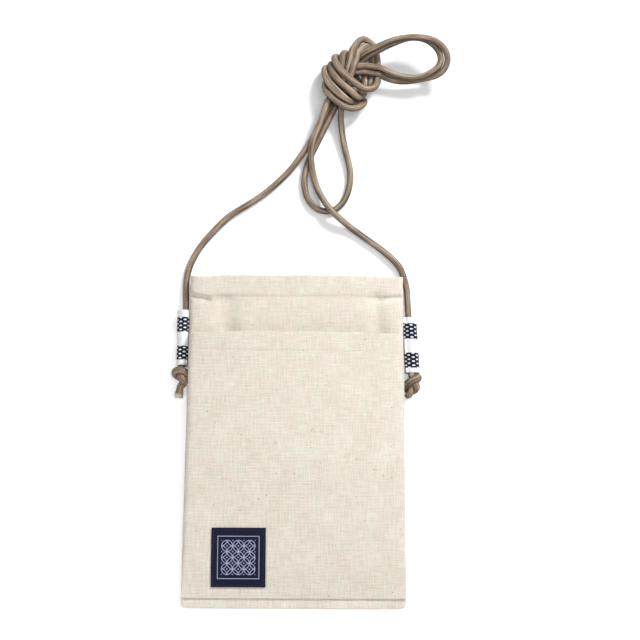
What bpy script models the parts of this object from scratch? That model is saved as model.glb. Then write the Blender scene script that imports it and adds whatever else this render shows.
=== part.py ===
"""A flat canvas pouch for a phone, with a front pocket, worn on one long cord that is knotted short.

Metres, +Z up. The pouch lies on its back on the plane z = 0, with its mouth towards +Y. The origin is on
that plane, under the middle of the pouch and the two tape loops at its sides. The cord comes up from a
stopper knot below each loop, runs through the loop and meets in a wrapped knot beyond the mouth.
"""

import math

import bmesh
import bpy
from mathutils import Vector

# Driving dimensions
POUCH_LENGTH = 0.1808
POUCH_WIDTH = 0.1198
CANVAS = 0.0012
FIT_GAP = 0.0003
MAIN_ROOM = 0.0087
POCKET_ROOM = 0.0048
SEAM_HEIGHT = 0.0060
BACK_SIDE_ROLL = 0.0130
BACK_END_ROLL = 0.0100
BOTTOM_ROLL = 0.0160
MOUTH_REACH = 0.0450
LIP_DROP = 0.0014
HEM_DEPTH = 0.0120
HEM_RAISE = 0.0006
HEM_STEP = 0.0006

POCKET_DROP = 0.0330
POCKET_RISE = 0.0045
POCKET_FOLD = 0.0120
POCKET_HEM_DEPTH = 0.0100

LABEL_WIDTH = 0.0290
LABEL_HEIGHT = 0.0310
LABEL_SIDE_INSET = 0.0160
LABEL_BOTTOM_INSET = 0.0065
LABEL_THICKNESS = 0.0006

CORD = 0.0040
CORD_CLEARANCE = 0.00035
TAPE = 0.00115
TAPE_WIDTH = 0.0315
LEFT_LOOP_STAND_OFF = 0.0037
RIGHT_LOOP_STAND_OFF = 0.0044
LEFT_LOOP_DROP = 0.0188
RIGHT_LOOP_DROP = 0.0216
LEFT_LOOP_TILT = math.radians(-0.6)
RIGHT_LOOP_TILT = math.radians(0.9)

KNOT_LENGTH = 0.0480
KNOT_WIDTH = 0.0250
KNOT_HEIGHT = 0.0160
KNOT_TURN = math.radians(37)
KNOT_CENTRE = (0.0302, 0.2115)

END_KNOT_LENGTH = 0.0100
END_KNOT_WIDTH = 0.0088
TAIL_LENGTH = 0.0065
LEFT_KNOT_TOP = (-0.0652, 0.0380)
RIGHT_KNOT_TOP = (0.0652, 0.0354)
LEFT_KNOT_LEAN = math.radians(-3)
RIGHT_KNOT_LEAN = math.radians(-10)

# How full the front is: high squareness keeps it flat out to the seams
SQUARENESS = 6.0
MOUTH_SQUARENESS = 4.2
SHOULDER = 1.7
BOTTOM_FULLNESS = 2.4

COLUMNS = 20
ROUND_SEGMENTS = 20
CORD_POINT_STEP = 2.5 * CORD

# Sizes that follow from those
HALF_WIDTH = POUCH_WIDTH / 2
SEAM_ALLOWANCE = CANVAS + FIT_GAP
CROWN_HALF = HALF_WIDTH - SEAM_ALLOWANCE
ROOM_HALF = CROWN_HALF - CANVAS
SEAM_TOP = SEAM_HEIGHT + CANVAS
SEAM_BOTTOM = SEAM_HEIGHT - CANVAS
FRONT_LEVEL = CANVAS + MAIN_ROOM + CANVAS
POUCH_BOTTOM = -POUCH_LENGTH / 2
POUCH_TOP = POUCH_LENGTH / 2
POCKET_BOTTOM = POUCH_BOTTOM + POCKET_RISE
POCKET_TOP = POUCH_TOP - POCKET_DROP
LOOP_BORE = CORD / 2 + CORD_CLEARANCE
LOOP_RADIUS = LOOP_BORE + TAPE
LOOP_AXIS_HEIGHT = LOOP_RADIUS + FIT_GAP
LEFT_REACH = LEFT_LOOP_STAND_OFF + LOOP_RADIUS + TAPE_WIDTH / 2 * math.sin(abs(LEFT_LOOP_TILT))
RIGHT_REACH = RIGHT_LOOP_STAND_OFF + LOOP_RADIUS + TAPE_WIDTH / 2 * math.sin(abs(RIGHT_LOOP_TILT))
POUCH_X = (LEFT_REACH - RIGHT_REACH) / 2

# The cord's route outside the knot, chosen by eye along the cord's middle
LEFT_LEAD = [
    (-0.0642, 0.0385, 0.0038), (-0.0640, 0.0550, 0.0038), (-0.0638, 0.0720, 0.0038),
    (-0.0630, 0.0810, 0.0030), (-0.0624, 0.0910, 0.0021), (-0.0607, 0.1010, 0.0021),
    (-0.0560, 0.1105, 0.0021), (-0.0475, 0.1200, 0.0021), (-0.0380, 0.1280, 0.0021),
    (-0.0280, 0.1355, 0.0021), (-0.0175, 0.1425, 0.0021), (-0.0105, 0.1490, 0.0021),
    (-0.0050, 0.1545, 0.0030), (-0.0003, 0.1600, 0.0050), (0.0035, 0.1655, 0.0068),
    (0.0065, 0.1715, 0.0078), (0.0095, 0.1775, 0.0082), (0.0130, 0.1840, 0.0086),
    (0.0160, 0.1900, 0.0088),
]
RIGHT_LEAD = [
    (0.0642, 0.0365, 0.0038), (0.0639, 0.0525, 0.0038), (0.0636, 0.0690, 0.0038),
    (0.0629, 0.0785, 0.0030), (0.0619, 0.0875, 0.0021), (0.0590, 0.0960, 0.0021),
    (0.0537, 0.1030, 0.0021), (0.0470, 0.1090, 0.0021), (0.0395, 0.1150, 0.0021),
    (0.0320, 0.1205, 0.0028), (0.0255, 0.1250, 0.0055), (0.0205, 0.1290, 0.0071),
    (0.0170, 0.1340, 0.0066), (0.0135, 0.1405, 0.0045), (0.0110, 0.1475, 0.0030),
    (0.0093, 0.1540, 0.0036), (0.0088, 0.1595, 0.0054), (0.0098, 0.1640, 0.0076),
    (0.0118, 0.1695, 0.0096), (0.0150, 0.1765, 0.0104), (0.0190, 0.1835, 0.0104),
    (0.0225, 0.1905, 0.0100),
]
LOWER_LOOP = [
    (0.0180, 0.1930, 0.0044), (0.0140, 0.1850, 0.0034), (0.0100, 0.1765, 0.0025),
    (0.0072, 0.1690, 0.0021), (0.0052, 0.1620, 0.0021), (0.0045, 0.1555, 0.0021),
    (0.0045, 0.1480, 0.0021), (0.0060, 0.1415, 0.0021), (0.0095, 0.1355, 0.0021),
    (0.0135, 0.1315, 0.0021), (0.0180, 0.1300, 0.0021), (0.0225, 0.1320, 0.0021),
    (0.0270, 0.1370, 0.0021), (0.0300, 0.1445, 0.0021), (0.0310, 0.1530, 0.0021),
    (0.0303, 0.1620, 0.0021), (0.0282, 0.1705, 0.0021), (0.0265, 0.1785, 0.0030),
    (0.0255, 0.1850, 0.0046), (0.0255, 0.1900, 0.0060),
]
UPPER_LOOP_OUTER = [
    (0.0335, 0.2150, 0.0070), (0.0390, 0.2145, 0.0078), (0.0440, 0.2125, 0.0088),
    (0.0505, 0.2098, 0.0095), (0.0580, 0.2078, 0.0098), (0.0670, 0.2072, 0.0102),
    (0.0755, 0.2083, 0.0110), (0.0820, 0.2117, 0.0120), (0.0862, 0.2168, 0.0135),
    (0.0870, 0.2225, 0.0155), (0.0845, 0.2278, 0.0170), (0.0785, 0.2315, 0.0176),
    (0.0700, 0.2328, 0.0176), (0.0615, 0.2322, 0.0170), (0.0535, 0.2303, 0.0160),
    (0.0465, 0.2277, 0.0148), (0.0405, 0.2255, 0.0135), (0.0345, 0.2230, 0.0120),
]
UPPER_LOOP_INNER = [
    (0.0340, 0.2195, 0.0115), (0.0390, 0.2190, 0.0124), (0.0445, 0.2172, 0.0135),
    (0.0515, 0.2142, 0.0146), (0.0590, 0.2108, 0.0152), (0.0660, 0.2098, 0.0154),
    (0.0735, 0.2115, 0.0156), (0.0790, 0.2150, 0.0160), (0.0815, 0.2195, 0.0150),
    (0.0818, 0.2238, 0.0140), (0.0788, 0.2278, 0.0130), (0.0725, 0.2300, 0.0124),
    (0.0645, 0.2305, 0.0120), (0.0560, 0.2290, 0.0112), (0.0485, 0.2262, 0.0102),
    (0.0420, 0.2235, 0.0090), (0.0360, 0.2210, 0.0078),
]


def clear_scene():
    for obj in list(bpy.data.objects):
        bpy.data.objects.remove(obj, do_unlink=True)


def material(name, colour, roughness):
    made = bpy.data.materials.new(name)
    made.use_nodes = True
    shader = made.node_tree.nodes["Principled BSDF"]
    shader.inputs["Base Color"].default_value = (*colour, 1)
    shader.inputs["Roughness"].default_value = roughness
    shader.inputs["Metallic"].default_value = 0
    made.diffuse_color = (*colour, 1)
    return made


def object_from(name, bm, finish, smooth_angle=40):
    """A linked object from this bmesh, closed, facing out and shaded smooth up to that angle."""
    bmesh.ops.recalc_face_normals(bm, faces=bm.faces)
    mesh = bpy.data.meshes.new(name)
    bm.to_mesh(mesh)
    bm.free()
    mesh.shade_smooth()
    mesh.set_sharp_from_angle(angle=math.radians(smooth_angle))
    mesh.materials.append(finish)
    obj = bpy.data.objects.new(name, mesh)
    bpy.context.scene.collection.objects.link(obj)
    return obj


def clamped(value):
    return min(max(value, 0.0), 1.0)


def crown(share, y):
    """Fullness across the front: 1 over its middle and 0 at the seams, rounder near the mouth."""
    near_mouth = clamped((y - POUCH_TOP + MOUTH_REACH) / MOUTH_REACH)
    squareness = SQUARENESS + (MOUTH_SQUARENESS - SQUARENESS) * near_mouth
    return (1 - min(abs(share), 1.0) ** squareness) ** (1 / SHOULDER)


def bottom_swell(y, start):
    """Fullness along the pouch: 0 at the bottom fold and 1 once past the roll above it."""
    above = clamped((y - start) / BOTTOM_ROLL)
    return (1 - (1 - above) ** BOTTOM_FULLNESS) ** (1 / SHOULDER)


def back_lift(x, y, half, start):
    """How far the back has turned up off its flat middle, from 0 there to 1 at the seams and the fold."""
    side = clamped((abs(x) - half + BACK_SIDE_ROLL) / BACK_SIDE_ROLL)
    end = clamped((start + BACK_END_ROLL - y) / BACK_END_ROLL)
    return 1 - math.sqrt(1 - side * side) * math.sqrt(1 - end * end)


def hem_raise(y, lower_edge):
    """The doubled canvas of a hem stands proud above its lower edge."""
    return HEM_RAISE * clamped((y - lower_edge) / HEM_STEP)


def front_level(y):
    """Height of the main front panel's face over the middle of the pouch."""
    return SEAM_TOP + (FRONT_LEVEL - SEAM_TOP) * bottom_swell(y, POUCH_BOTTOM)


def lip_drop(x):
    """The front lip lies a little below the back lip, and meets it at the seams."""
    return LIP_DROP * (1 - min(abs(x) / HALF_WIDTH, 1.0) ** SQUARENESS)


def body_front(x, y):
    face = SEAM_TOP + (front_level(y) - SEAM_TOP) * crown(x / CROWN_HALF, y)
    return face + hem_raise(y, POUCH_TOP - HEM_DEPTH) * crown(x / HALF_WIDTH, y)


def body_back(x, y):
    return SEAM_BOTTOM * back_lift(x, y, HALF_WIDTH, POUCH_BOTTOM)


def room_front(x, y):
    slit = SEAM_HEIGHT + FIT_GAP / 2
    full = FRONT_LEVEL - CANVAS - slit
    return slit + full * crown(x / ROOM_HALF, y) * bottom_swell(y, POUCH_BOTTOM + SEAM_ALLOWANCE)


def room_back(x, y):
    slit = SEAM_HEIGHT - FIT_GAP / 2
    lift = back_lift(x, y, ROOM_HALF, POUCH_BOTTOM + SEAM_ALLOWANCE)
    return CANVAS + (slit - CANVAS) * lift


def pocket_level(y):
    """Height of the pocket's inner face over the middle: it leaves the front panel at its bottom fold."""
    climb = clamped((y - POCKET_BOTTOM) / POCKET_FOLD)
    opened = math.sqrt(1 - (1 - climb) ** 2)
    return front_level(y) + FIT_GAP + POCKET_ROOM * opened


def pocket_inside(x, y):
    seat = SEAM_TOP + FIT_GAP
    return seat + (pocket_level(y) - seat) * crown(x / (HALF_WIDTH - CANVAS), y)


def pocket_outside(x, y):
    seat = SEAM_TOP + FIT_GAP
    raised = CANVAS + hem_raise(y, POCKET_TOP - POCKET_HEM_DEPTH)
    return seat + (pocket_level(y) + raised - seat) * crown(x / HALF_WIDTH, y)


def column_shares():
    """Places across a panel from -1 to 1, closer together towards the seams."""
    return [math.sin(math.pi / 2 * (2 * i / COLUMNS - 1)) for i in range(COLUMNS + 1)]


def rows_between(bottom, top, hem, roll):
    """Heights of a panel's rows: close over the bottom roll, wide over the flat, and one step at the hem."""
    rows = [bottom + roll * share for share in (0, 0.04, 0.14, 0.3, 0.52, 0.76, 1)]
    hem_edge = top - hem
    spans = 6
    rows += [rows[-1] + (hem_edge - rows[-1]) * k / spans for k in range(1, spans + 1)]
    return rows + [hem_edge + HEM_STEP, top]


def panel(bm, half, rows, height, drop=None):
    """One face of a panel: a grid of vertices at height(x, y), returned by rows."""
    grid = []
    for y in rows:
        line = []
        for share in column_shares():
            x = half * share
            lowered = drop(x) if drop and y == rows[-1] else 0
            line.append(bm.verts.new((POUCH_X + x, y - lowered, height(x, y))))
        grid.append(line)
    for lower, upper in zip(grid, grid[1:]):
        join_lines(bm, lower, upper)
    return grid


def join_lines(bm, first, second):
    """Quads between two lines of as many vertices."""
    for i in range(len(first) - 1):
        bm.faces.new((first[i], first[i + 1], second[i + 1], second[i]))


def left_edge(grid):
    return [line[0] for line in grid]


def right_edge(grid):
    return [line[-1] for line in grid]


def build_pouch_body(finish):
    """One strip of canvas folded at the bottom: the back and the main front panel, open at the mouth."""
    bm = bmesh.new()
    outer_rows = rows_between(POUCH_BOTTOM, POUCH_TOP, HEM_DEPTH, BOTTOM_ROLL)
    inner_rows = rows_between(POUCH_BOTTOM + SEAM_ALLOWANCE, POUCH_TOP, HEM_DEPTH, BOTTOM_ROLL)
    front = panel(bm, HALF_WIDTH, outer_rows, body_front, lip_drop)
    back = panel(bm, HALF_WIDTH, outer_rows, body_back)
    room_top = panel(bm, ROOM_HALF, inner_rows, room_front, lip_drop)
    room_floor = panel(bm, ROOM_HALF, inner_rows, room_back)
    for above, below in ((front, back), (room_top, room_floor)):
        join_lines(bm, left_edge(above), left_edge(below))
        join_lines(bm, right_edge(above), right_edge(below))
        join_lines(bm, above[0], below[0])
    join_lines(bm, front[-1], room_top[-1])
    join_lines(bm, back[-1], room_floor[-1])
    for end in (0, -1):
        bm.faces.new((front[-1][end], room_top[-1][end], room_floor[-1][end], back[-1][end]))
    return object_from("pouch_body", bm, finish)


def build_front_pocket(finish):
    """The patch pocket: a second piece of canvas over the front, held at both seams and its bottom fold."""
    bm = bmesh.new()
    rows = rows_between(POCKET_BOTTOM, POCKET_TOP, POCKET_HEM_DEPTH, POCKET_FOLD)
    outside = panel(bm, HALF_WIDTH, rows, pocket_outside)
    inside = panel(bm, HALF_WIDTH - CANVAS, rows, pocket_inside)
    join_lines(bm, left_edge(outside), left_edge(inside))
    join_lines(bm, right_edge(outside), right_edge(inside))
    join_lines(bm, outside[0], inside[0])
    join_lines(bm, outside[-1], inside[-1])
    return object_from("front_pocket", bm, finish)


def build_label(finish):
    """The woven label, sewn flat on the pocket's lower left corner."""
    steps = 6
    left = LABEL_SIDE_INSET - HALF_WIDTH
    bottom = POCKET_BOTTOM + LABEL_BOTTOM_INSET
    bm = bmesh.new()
    faces = []
    for lift in (FIT_GAP, FIT_GAP + LABEL_THICKNESS):
        grid = []
        for j in range(steps + 1):
            y = bottom + LABEL_HEIGHT * j / steps
            across = [left + LABEL_WIDTH * i / steps for i in range(steps + 1)]
            grid.append([bm.verts.new((POUCH_X + x, y, pocket_outside(x, y) + lift)) for x in across])
        for lower, upper in zip(grid, grid[1:]):
            join_lines(bm, lower, upper)
        faces.append(grid)
    under, over = faces
    join_lines(bm, left_edge(under), left_edge(over))
    join_lines(bm, right_edge(under), right_edge(over))
    join_lines(bm, under[0], over[0])
    join_lines(bm, under[-1], over[-1])
    return object_from("label", bm, finish)


def build_tape_loop(name, side, stand_off, drop, tilt, finish):
    """Woven tape wrapped round the cord as a tube, its two ends laid together and caught in the side seam."""
    neck_half = TAPE
    rise = SEAM_HEIGHT - LOOP_AXIS_HEIGHT
    neck_end = stand_off - FIT_GAP - TAPE_WIDTH / 2 * math.sin(abs(tilt))
    opening = math.asin(neck_half / LOOP_RADIUS)
    turn = math.atan2(rise, neck_end)
    outline = []
    steps = ROUND_SEGMENTS - 1
    for k in range(steps + 1):
        angle = turn + opening + (2 * math.pi - 2 * opening) * k / steps
        outline.append((LOOP_RADIUS * math.cos(angle), LOOP_RADIUS * math.sin(angle)))
    bore = []
    for k in range(steps + 1):
        angle = turn + opening + (2 * math.pi - 2 * opening) * k / steps
        bore.append((LOOP_BORE * math.cos(angle), LOOP_BORE * math.sin(angle)))
    neck = [(neck_end, rise - neck_half), (neck_end, rise + neck_half)]
    bm = bmesh.new()
    ends = []
    for y in (-TAPE_WIDTH / 2, TAPE_WIDTH / 2):
        outer = [bm.verts.new((-side * x, y, z)) for x, z in outline + neck]
        inner = [bm.verts.new((-side * x, y, z)) for x, z in bore]
        for k in range(steps):
            bm.faces.new((outer[k], outer[k + 1], inner[k + 1], inner[k]))
        bm.faces.new((outer[steps], outer[steps + 1], outer[steps + 2], outer[0], inner[0], inner[steps]))
        ends.append((outer, inner))
    for near, far in zip(*ends):
        join_lines(bm, near + near[:1], far + far[:1])
    loop = object_from(name, bm, finish)
    loop.location = (
        POUCH_X + side * (HALF_WIDTH + stand_off),
        POUCH_TOP - drop - TAPE_WIDTH / 2,
        LOOP_AXIS_HEIGHT,
    )
    loop.rotation_euler = (0, 0, tilt)
    return loop


def curve_through(route):
    """Closely spaced points on a smooth curve through the route's points."""
    points = [Vector(p) for p in route]
    points = [2 * points[0] - points[1], *points, 2 * points[-1] - points[-2]]
    parts = 8
    dense = []
    for a, b, c, d in zip(points, points[1:], points[2:], points[3:]):
        for k in range(parts):
            t = k / parts
            bend = (2 * a - 5 * b + 4 * c - d) * t * t + (3 * b - a - 3 * c + d) * t * t * t
            dense.append(b + ((c - a) * t + bend) / 2)
    return dense + [points[-2]]


def evenly_spaced(dense, step):
    """Points read off a close-set line at equal steps, its two ends among them."""
    travelled = [0.0]
    for a, b in zip(dense, dense[1:]):
        travelled.append(travelled[-1] + (b - a).length)
    count = max(2, round(travelled[-1] / step))
    spaced = []
    k = 0
    for n in range(count + 1):
        goal = travelled[-1] * n / count
        while k < len(dense) - 2 and travelled[k + 1] < goal:
            k += 1
        share = (goal - travelled[k]) / (travelled[k + 1] - travelled[k])
        spaced.append(dense[k].lerp(dense[k + 1], share))
    return spaced


def outside_knot(point):
    """Whether a length of cord at this point is clear of the wrapped knot's solid."""
    x = point.x - KNOT_CENTRE[0]
    y = point.y - KNOT_CENTRE[1]
    along = y * math.cos(KNOT_TURN) + x * math.sin(KNOT_TURN)
    across = x * math.cos(KNOT_TURN) - y * math.sin(KNOT_TURN)
    margin = CORD / 2 * 0.62 + FIT_GAP
    lift = point.z - KNOT_HEIGHT / 2 - FIT_GAP
    reach = (
        (along / (KNOT_LENGTH / 2 + margin)) ** 2
        + (across / (KNOT_WIDTH / 2 + margin)) ** 2
        + (lift / (KNOT_HEIGHT / 2 + margin)) ** 2
    )
    return reach > 1


def build_cord(name, route, finish):
    """A length of the round cord along its route, stopping short of the wrapped knot."""
    clear = [point for point in curve_through(route) if outside_knot(point)]
    points = evenly_spaced(clear, CORD_POINT_STEP)
    curve = bpy.data.curves.new(name, "CURVE")
    curve.dimensions = "3D"
    curve.bevel_depth = CORD / 2
    curve.bevel_resolution = 2
    curve.use_fill_caps = True
    spline = curve.splines.new("POLY")
    spline.points.add(len(points) - 1)
    for place, point in zip(spline.points, points):
        place.co = (*point, 1)
    spline.use_smooth = True
    curve.materials.append(finish)
    cord = bpy.data.objects.new(name, curve)
    bpy.context.scene.collection.objects.link(cord)
    return cord


def build_wrapped_knot(finish):
    """The outer shape of the cord's wrapped knot: a flattened round-ended bundle lying on the table."""
    bm = bmesh.new()
    bmesh.ops.create_uvsphere(bm, u_segments=20, v_segments=12, radius=0.5)
    bmesh.ops.scale(bm, vec=(KNOT_WIDTH, KNOT_LENGTH, KNOT_HEIGHT), verts=bm.verts)
    knot = object_from("cord_knot", bm, finish)
    knot.location = (*KNOT_CENTRE, KNOT_HEIGHT / 2 + FIT_GAP)
    knot.rotation_euler = (0, 0, -KNOT_TURN)
    return knot


def build_end_knot(name, top, lean, finish):
    """A stopper knot with its short tail, resting on the table; top is where the cord enters it."""
    profile = [(0, 0), (0.55, 0), (0.88, 0.16), (1, 0.42), (0.97, 0.66), (0.78, 0.88), (0.5, 1)]
    points = [(r * END_KNOT_WIDTH / 2, -s * END_KNOT_LENGTH) for r, s in profile]
    tail_end = -END_KNOT_LENGTH - TAIL_LENGTH
    points += [(CORD / 2, -END_KNOT_LENGTH - TAIL_LENGTH / 10), (CORD / 2, tail_end), (0, tail_end)]
    bm = bmesh.new()
    line = [bm.verts.new((r, y, 0)) for r, y in points]
    edges = [bm.edges.new(pair) for pair in zip(line, line[1:])]
    bmesh.ops.spin(
        bm, geom=line + edges, cent=(0, 0, 0), axis=(0, 1, 0), angle=2 * math.pi,
        steps=12, use_merge=True,
    )
    bmesh.ops.remove_doubles(bm, verts=bm.verts, dist=0.00001)
    knot = object_from(name, bm, finish)
    knot.location = (*top, END_KNOT_WIDTH / 2 + FIT_GAP)
    knot.rotation_euler = (0, 0, lean)
    return knot


def main():
    clear_scene()
    canvas = material("ecru_canvas", (0.80, 0.74, 0.64), 0.9)
    pocket_canvas = material("pocket_canvas", (0.81, 0.75, 0.65), 0.9)
    navy_weave = material("navy_label_weave", (0.012, 0.014, 0.040), 0.8)
    white_tape = material("white_tape", (0.84, 0.84, 0.86), 0.85)
    brown_cord = material("brown_cord", (0.26, 0.18, 0.135), 0.6)
    build_pouch_body(canvas)
    build_front_pocket(pocket_canvas)
    build_label(navy_weave)
    build_tape_loop("left_strap_loop", -1, LEFT_LOOP_STAND_OFF, LEFT_LOOP_DROP, LEFT_LOOP_TILT, white_tape)
    build_tape_loop("right_strap_loop", 1, RIGHT_LOOP_STAND_OFF, RIGHT_LOOP_DROP, RIGHT_LOOP_TILT, white_tape)
    build_cord("cord_left_lead", LEFT_LEAD, brown_cord)
    build_cord("cord_right_lead", RIGHT_LEAD, brown_cord)
    build_cord("cord_lower_loop", LOWER_LOOP, brown_cord)
    build_cord("cord_upper_loop_outer", UPPER_LOOP_OUTER, brown_cord)
    build_cord("cord_upper_loop_inner", UPPER_LOOP_INNER, brown_cord)
    build_wrapped_knot(brown_cord)
    build_end_knot("cord_end_knot_left", LEFT_KNOT_TOP, LEFT_KNOT_LEAN, brown_cord)
    build_end_knot("cord_end_knot_right", RIGHT_KNOT_TOP, RIGHT_KNOT_LEAN, brown_cord)


main()
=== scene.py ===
"""Looks of a flat canvas phone pouch with a front pocket, worn on one long cord that is knotted short.

Metres, +Z up. The pouch lies on its back on the table with its mouth towards +Y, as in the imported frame.
Every soft piece is built here in mesh code around the space that its solid holds.
"""

import math

import bmesh
import bpy
import numpy as np
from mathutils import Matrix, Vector, noise


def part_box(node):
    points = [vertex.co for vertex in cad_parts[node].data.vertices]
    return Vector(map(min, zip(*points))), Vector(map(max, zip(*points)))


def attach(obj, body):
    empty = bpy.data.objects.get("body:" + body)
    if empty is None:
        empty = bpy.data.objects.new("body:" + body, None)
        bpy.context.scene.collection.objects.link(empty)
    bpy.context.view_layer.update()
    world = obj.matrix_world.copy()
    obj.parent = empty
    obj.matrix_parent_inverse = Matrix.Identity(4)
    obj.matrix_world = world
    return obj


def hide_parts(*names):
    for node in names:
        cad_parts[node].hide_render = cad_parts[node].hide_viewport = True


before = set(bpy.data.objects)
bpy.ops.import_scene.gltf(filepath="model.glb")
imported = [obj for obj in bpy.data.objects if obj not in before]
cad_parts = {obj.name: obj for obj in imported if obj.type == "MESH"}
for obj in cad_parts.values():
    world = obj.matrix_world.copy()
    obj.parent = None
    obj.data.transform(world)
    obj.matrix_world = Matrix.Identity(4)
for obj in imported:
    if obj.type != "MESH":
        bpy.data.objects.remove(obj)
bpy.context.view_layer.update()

MM = 0.001

# Places of the pouch, its pocket and its label, from their solids; the lip and the pocket's low edge lie higher
POUCH_LOW, POUCH_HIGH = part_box("pouch_body")
POCKET_LOW, POCKET_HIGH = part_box("front_pocket")
LABEL_LOW, LABEL_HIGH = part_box("label")
HALF_WIDTH = (POUCH_HIGH.x - POUCH_LOW.x) / 2
POUCH_X = (POUCH_HIGH.x + POUCH_LOW.x) / 2
POUCH_BOTTOM = POUCH_LOW.y
POUCH_TOP = POUCH_HIGH.y + 0.9 * MM
POCKET_BOTTOM = POCKET_LOW.y
POCKET_TOP = POCKET_HIGH.y
POCKET_LOW_EDGE = POCKET_BOTTOM + 1.2 * MM
LABEL_X = (LABEL_LOW.x + LABEL_HIGH.x) / 2 - POUCH_X
LABEL_Y = (LABEL_LOW.y + LABEL_HIGH.y) / 2
LABEL_HALF_X = (LABEL_HIGH.x - LABEL_LOW.x) / 2
LABEL_HALF_Y = (LABEL_HIGH.y - LABEL_LOW.y) / 2

# The canvas, its seams and the height of the rooms inside it
CANVAS = 1.2 * MM
FIT_GAP = 0.3 * MM
MAIN_ROOM = 8.7 * MM
POCKET_ROOM = 4.8 * MM
SEAM_HEIGHT = 6.0 * MM
SEAM_ALLOWANCE = CANVAS + FIT_GAP
SEAM_TOP = SEAM_HEIGHT + CANVAS
SEAM_BOTTOM = SEAM_HEIGHT - CANVAS
FRONT_LEVEL = CANVAS + MAIN_ROOM + CANVAS
EDGE_ROUND = 0.6 * MM
POCKET_EDGE_ROUND = 0.5 * MM
EDGE_X = HALF_WIDTH - EDGE_ROUND
BODY_LOW = POUCH_BOTTOM + EDGE_ROUND
ROOM_HALF = HALF_WIDTH - SEAM_ALLOWANCE - CANVAS
MAIN_LIP = 0.9 * MM
BACK_LIP = 0.7 * MAIN_LIP
POCKET_LIP = 0.6 * MM

# How the canvas lies: a long taper up from the bottom fold, square shoulders and a slight fall to the sides
BACK_SIDE_ROLL = 13 * MM
BACK_END_ROLL = 10 * MM
BOTTOM_TAPER = 75 * MM
BOTTOM_FULLNESS = 1.15
STRIP = 3.4 * MM
MOUTH_REACH = 45 * MM
SQUARENESS = 56.0
MOUTH_SQUARENESS = 24.0
SHOULDER = 1.7
SIDE_FALL = 0.42
LIP_DROP = 0.4 * MM
LIP_CORNER_DROP = 0.9 * MM
LIP_CORNER_X = 51 * MM
LIP_CORNER_WIDTH = 6 * MM
LIP_REACH_BACK = 14 * MM
POCKET_LIP_REACH_BACK = 12 * MM
POCKET_LIP_LEAN = 0.25 * MM
POCKET_SEAT = 0.9 * MM
POCKET_SUNK = 1.0 * MM
POCKET_SUNK_REACH = 18 * MM
BACK_LIFT_OFF = 0.05 * MM
CORNER_REACH = 9 * MM
CORNER_INSET = 0.8 * MM
CORNER_RISE = 0.9 * MM

# Hems and stitches
HEM_DEPTH = 12.9 * MM
POCKET_HEM_DEPTH = 11.2 * MM
HEM_RAISE = 0.28 * MM
HEM_STEP = 1.8 * MM
HEM_ROW = POUCH_TOP - HEM_DEPTH + 1.6 * MM
POCKET_ROW = POCKET_TOP - POCKET_HEM_DEPTH + 1.2 * MM
STITCH_PITCH = 2.9 * MM
STITCH_LENGTH = 2.2 * MM
STITCH_DIP_WIDTH = 0.9 * MM
HEM_DIP = 0.06 * MM
POCKET_DIP = 0.04 * MM
LABEL_DIP = 0.16 * MM
STITCH_RADIUS = 0.14 * MM
LABEL_STITCH_PITCH = 1.7 * MM
LABEL_STITCH_LENGTH = 1.25 * MM
LABEL_STITCH_RADIUS = 0.13 * MM
LABEL_ROW_INSET = 1.1 * MM

# Creases of the front panel below its hem and of the pocket, in millimetres: start, end, width and depth
MOUTH_CREASES = [
    ((-40, 76), (-38, 57), 6.0, 1.9), ((44.5, 78), (46, 56), 4.2, 1.8), ((-61, 80), (-50, 77), 1.3, 2.8),
    ((47, 77.6), (60, 79), 1.5, 1.7), ((-30, 77.6), (40, 77.6), 1.4, 0.24),
]
POCKET_CREASES = [
    ((-47, POCKET_ROW / MM), (-20, POCKET_ROW / MM - 0.6), 1.0, 0.30), ((-58, -81.5), (58, -82.5), 2.0, -0.25),
]

# Unevenness of the cloth: how wide its patches are, its seed and its height
BROAD_WAVES = (42 * MM, 1.3, 0.55 * MM)
FINE_WAVES = (13 * MM, 5.1, 0.12 * MM)
LIP_WAVES = (30 * MM, 8.8, 0.35 * MM)
BACK_WAVES = (30 * MM, 2.2, 0.35 * MM)
POCKET_BROAD_WAVES = (48 * MM, 11.7, 0.50 * MM)
POCKET_FINE_WAVES = (15 * MM, 4.4, 0.10 * MM)
POCKET_LIP_WAVES = (26 * MM, 6.6, 0.3 * MM)
LABEL_WAVES = (9 * MM, 2.9, 0.12 * MM)
RIPPLES = (6 * MM, 3.1, 0.22 * MM)
SIDE_WANDER = (34 * MM, 0.2, 0.35 * MM)

# Mesh steps of the canvas: wide over its flats, close near its edges, hems and folds
WIDE_STEP_X = 1.5 * MM
WIDE_STEP_Y = 1.4 * MM
CLOSE_STEP_X = 0.3 * MM
CLOSE_STEP_Y = 0.35 * MM
ROOM_STEP = 5 * MM
SIDE_REACH = 4 * MM
HEM_REACH = 2.2 * MM
LIP_REACH = 1.6 * MM
LOW_REACH = 5 * MM

# The label and its woven pattern
LABEL_THICKNESS = 0.6 * MM
LABEL_LIFT = 0.85 * MM
LABEL_STEP = 0.7 * MM
LABEL_EDGE_REACH = 2 * MM
RING_CELL = 6.0 * MM
RING_RADIUS = 0.485
FIELD_HALF = 9.0 * MM
FRAME_HALF = 11.0 * MM

# The tape tubes
TAPE = 1.0 * MM
TAPE_WIDTH = 31.5 * MM
TAPE_AXIS = 3.8 * MM
TAPE_SLACK = 0.85 * MM
TAPE_OPENING = 0.42
TAPE_PARTS = 24
TAPE_OUTLINE_STEP = 0.28 * MM
TAPE_ROW = 0.8 * MM
TAPE_CLOSE_ROW = 0.22 * MM
TAPE_SLACK_WAVE = 0.16 * MM
TAPE_FLARE = 0.25 * MM
TAPE_FLARE_REACH = 1.2 * MM
LEAST_HEIGHT = 0.04 * MM

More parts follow.
